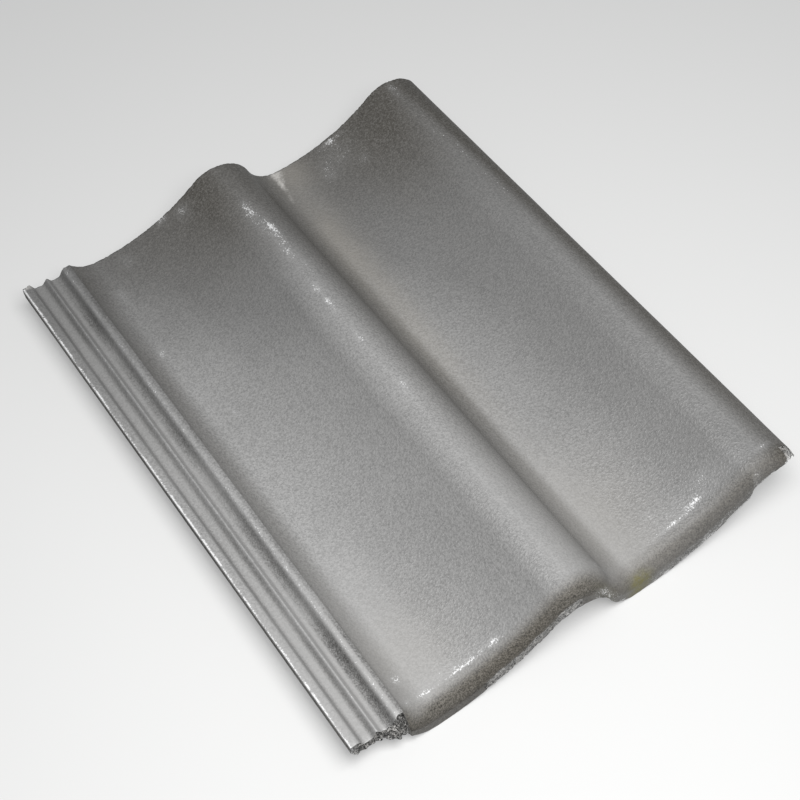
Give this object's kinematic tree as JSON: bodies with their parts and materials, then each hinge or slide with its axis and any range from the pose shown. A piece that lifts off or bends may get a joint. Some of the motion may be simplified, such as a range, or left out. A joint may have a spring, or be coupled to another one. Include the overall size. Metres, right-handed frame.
{
  "type": "concrete roof tile",
  "caption": "Double-wave interlocking roof tile with a rounded nose, a grooved side lock, an overlock and hanging nibs.",
  "frame": {"origin": "middle of the tile's plan, at the level of the nibs' feet and the nose lip", "axes": "+Y up the roof from the nose to the head, +X from the side lock to the overlock, +Z away from the roof"},
  "size_m": [0.332, 0.42, 0.055],
  "materials": {
    "coated_concrete": "satin anthracite face coat over fine-grained concrete"
  },
  "bodies": {
    "root": {"roof_tile": "coated_concrete"}
  },
  "joints": []
}
